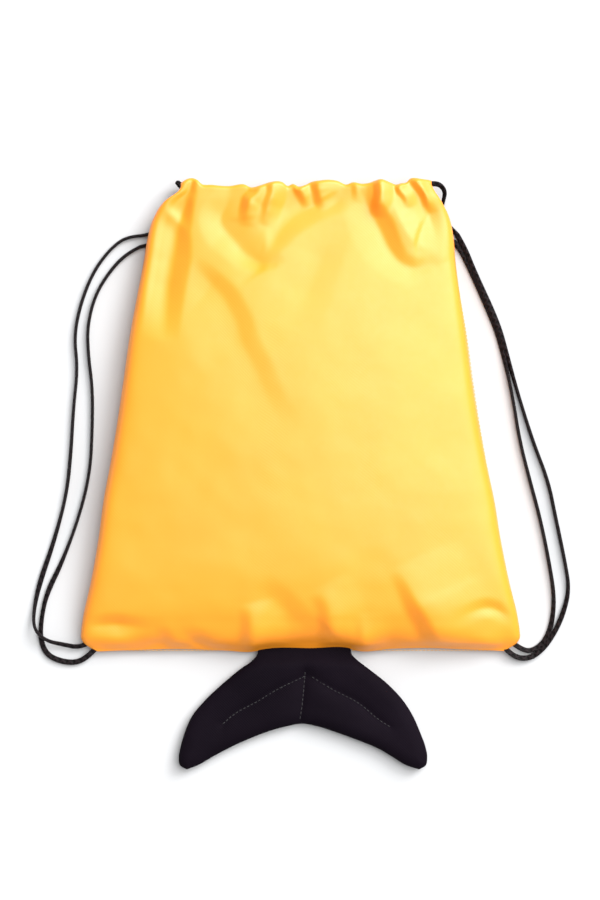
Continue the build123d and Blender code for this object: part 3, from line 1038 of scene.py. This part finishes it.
def seam_line(side):
    """Points just inside a side seam, on the back cloth; side is -1 at the left, 1 at the right."""
    ys = np.linspace(-128, 186, 80)
    half = smooth_column(OUTLINE, 1, ys) - SEAM_INSET
    seam, under, flat = (smooth_column(BACK_HEIGHTS, k, ys) for k in (1, 2, 3))
    reach = np.clip((half - flat) / (half + SEAM_INSET - flat), 0, 1)
    heights = under + (seam - under) * (1 - np.sqrt(1 - reach**2))
    return np.stack([side * half, ys, heights - SEAM_DROP], axis=1)


for side, label in ((-1, "left"), (1, "right")):
    row = stitches(
        f"{label}_seam_stitches", seam_line(side), SEAM_PITCH, SEAM_THREAD, bag_thread
    )
    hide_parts(f"{label}_side_seam_stitching")
    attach(row, "bag")

bottom_x = np.linspace(-164, 164, 90)
bottom_line = np.stack([bottom_x, np.full(90, -142.6), np.full(90, 5.5)], axis=1)
bottom_row = stitches(
    "bottom_seam_stitches", bottom_line, SEAM_PITCH, SEAM_THREAD, bag_thread
)
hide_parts("bottom_seam_stitching")
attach(bottom_row, "bag")


# ---- tail ---------------------------------------------------------------------------------
TAIL_MIDDLE_Z = 6.5
TAIL_HALF_THICKNESS = 6.2
RIM_HALF_THICKNESS = 0.9
UNDERSIDE = 0.93  # the lower skin's swelling as a share of the upper one's
UPPER_EDGE = (  # the tail's outline from the left tip over the root to the right tip
    (-93, -240),
    (-98.6, -236.5),
    (-99.6, -229.6),
    (-98, -221),
    (-94.7, -209.9),
    (-89, -196.8),
    (-78.3, -183.7),
    (-64.4, -170.6),
    (-48.8, -157.6),
    (-39.5, -151),
    (-35.4, -146),
    (-33.8, -140.5),
    (-28, -138.6),
    (0, -138.4),
    (35, -138.6),
    (40.4, -140.5),
    (42, -146),
    (47, -151),
    (55.4, -157.4),
    (71.8, -170.6),
    (84, -183.7),
    (92.3, -196.8),
    (98, -209.9),
    (102.1, -221),
    (103.7, -229.6),
    (102.4, -236.8),
    (97, -240),
)
LOWER_EDGE = (  # the same tips joined along the trailing edge
    (-93, -240),
    (-83.2, -236.2),
    (-71.8, -229.6),
    (-59.5, -223),
    (-45.5, -216.5),
    (-29.1, -209.9),
    (-12, -204.9),
    (1.2, -202.6),
    (14, -204.8),
    (29.9, -209.9),
    (48, -216.5),
    (63.6, -223),
    (75, -229.6),
    (85.7, -236.2),
    (97, -240),
)
QUILTING = {
    "left": ((4, -163.5), (-20, -175), (-34, -183.5), (-56, -196), (-64, -203)),
    "centre": ((3.8, -159.5), (2.5, -175), (1.2, -188), (-0.5, -199)),
    "right": ((9, -164), (25, -173.8), (47, -185.3), (66, -200.5), (73.5, -205)),
}
QUILTING_PITCH = 3.4
QUILTING_THREAD = 0.6
TAIL_COLUMNS = 220
TAIL_ROWS = 44

top_line = flat_curve(UPPER_EDGE, TAIL_COLUMNS)
low_line = flat_curve(LOWER_EDGE, TAIL_COLUMNS)
across = (1 - np.cos(np.linspace(0, math.pi, TAIL_ROWS)))[:, None, None] / 2
tail_xy = low_line[None] * (1 - across) + top_line[None] * across
X, Y = tail_xy[..., 0], tail_xy[..., 1]  # from here on the height functions use the tail's grid


def tail_thickness():
    """How far the tail's skin stands off its middle plane."""
    edge, _ = near(np.vstack([top_line, low_line[-2::-1]]))
    edge = np.abs(edge)
    swell = np.sqrt(1 - (1 - np.clip(edge / 11.0, 0, 1)) ** 2)
    thick = RIM_HALF_THICKNESS + (TAIL_HALF_THICKNESS - RIM_HALF_THICKNESS) * swell
    for row in QUILTING.values():
        thick += valley(row, (2.6, 3.4, 3.4, 2.4), 5.5, 5.5, 1.0)
    root = smoothstep(-143, -157, Y)
    thick = RIM_HALF_THICKNESS + (thick - RIM_HALF_THICKNESS) * (0.06 + 0.94 * root)
    return np.clip(thick + 0.25 * soft_noise(17, 9) * swell, 0.6, None)


def tail_skin(offset):
    """One skin of the tail over its grid, offset from the middle plane."""
    return np.stack([X, Y, TAIL_MIDDLE_Z + offset], axis=-1).reshape(-1, 3)


thick = tail_thickness()
tail_points = np.vstack([tail_skin(thick), tail_skin(-(UNDERSIDE * thick))])
tail_uvs = np.vstack([np.stack([X, Y], axis=-1).reshape(-1, 2) / UV_MM] * 2)
upper_faces = grid_faces(TAIL_ROWS, TAIL_COLUMNS)
lower_faces = [tuple(reversed(f)) for f in grid_faces(TAIL_ROWS, TAIL_COLUMNS, X.size)]
# The skins meet round the grid's border.
rim = [(r, 0) for r in range(TAIL_ROWS)]
rim += [(TAIL_ROWS - 1, c) for c in range(1, TAIL_COLUMNS)]
rim += [(r, TAIL_COLUMNS - 1) for r in range(TAIL_ROWS - 2, -1, -1)]
rim += [(0, c) for c in range(TAIL_COLUMNS - 2, 0, -1)]
rim = [r * TAIL_COLUMNS + c for r, c in rim]
rim_faces = [(a, b, b + X.size, a + X.size) for a, b in zip(rim, rim[1:] + rim[:1])]
tail = mesh_object("tail", tail_points, upper_faces + lower_faces + rim_faces, tail_cloth, tail_uvs)
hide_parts("tail_top_fabric", "tail_bottom_fabric", "tail_padding")
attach(tail, "tail")

for label, row in QUILTING.items():
    track = flat_curve(row)
    nearest = [np.argmin((X - x).ravel() ** 2 + (Y - y).ravel() ** 2) for x, y in track]
    heights = TAIL_MIDDLE_Z + thick.ravel()[nearest]
    line = np.column_stack([track, blur(heights[None], 6)[0]])
    sewing = stitches(f"tail_{label}_stitches", line, QUILTING_PITCH, QUILTING_THREAD, tail_thread)
    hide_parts(f"tail_{label}_quilting")
    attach(sewing, "tail")


# ---- stage --------------------------------------------------------------------------------
FLOOR_SIZE = 12
FLOOR_Z = -0.0004  # just under the lowest piece

floor_material = Nodes("floor")
floor_material.set(Base_Color=(0.562, 0.567, 0.575, 1), Roughness=0.9, Specular_IOR_Level=0.0)
bpy.ops.mesh.primitive_plane_add(size=FLOOR_SIZE, location=(0, 0, FLOOR_Z))
floor = bpy.context.object
floor.name = "floor"
floor.data.materials.append(floor_material.material)


def soft_light(name, direction, spread, strength):
    """A distant soft light that comes from a direction, over a cone of spread degrees."""
    data = bpy.data.lights.new(name, "SUN")
    data.angle = math.radians(spread)
    data.energy = strength
    light = bpy.data.objects.new(name, data)
    bpy.context.collection.objects.link(light)
    light.rotation_euler = Vector(direction).to_track_quat("Z", "Y").to_euler()


soft_light("key", (0.62, 0.60, 0.505), 32, 2.9)
soft_light("top", (0.34, 0.30, 0.89), 60, 3.55)

world = bpy.data.worlds.new("world")
bpy.context.scene.world = world
world.use_nodes = True
background = world.node_tree.nodes["Background"]
background.inputs["Color"].default_value = (1, 1, 1, 1)
background.inputs["Strength"].default_value = 0.45
bpy.context.scene.view_settings.view_transform = "Standard"
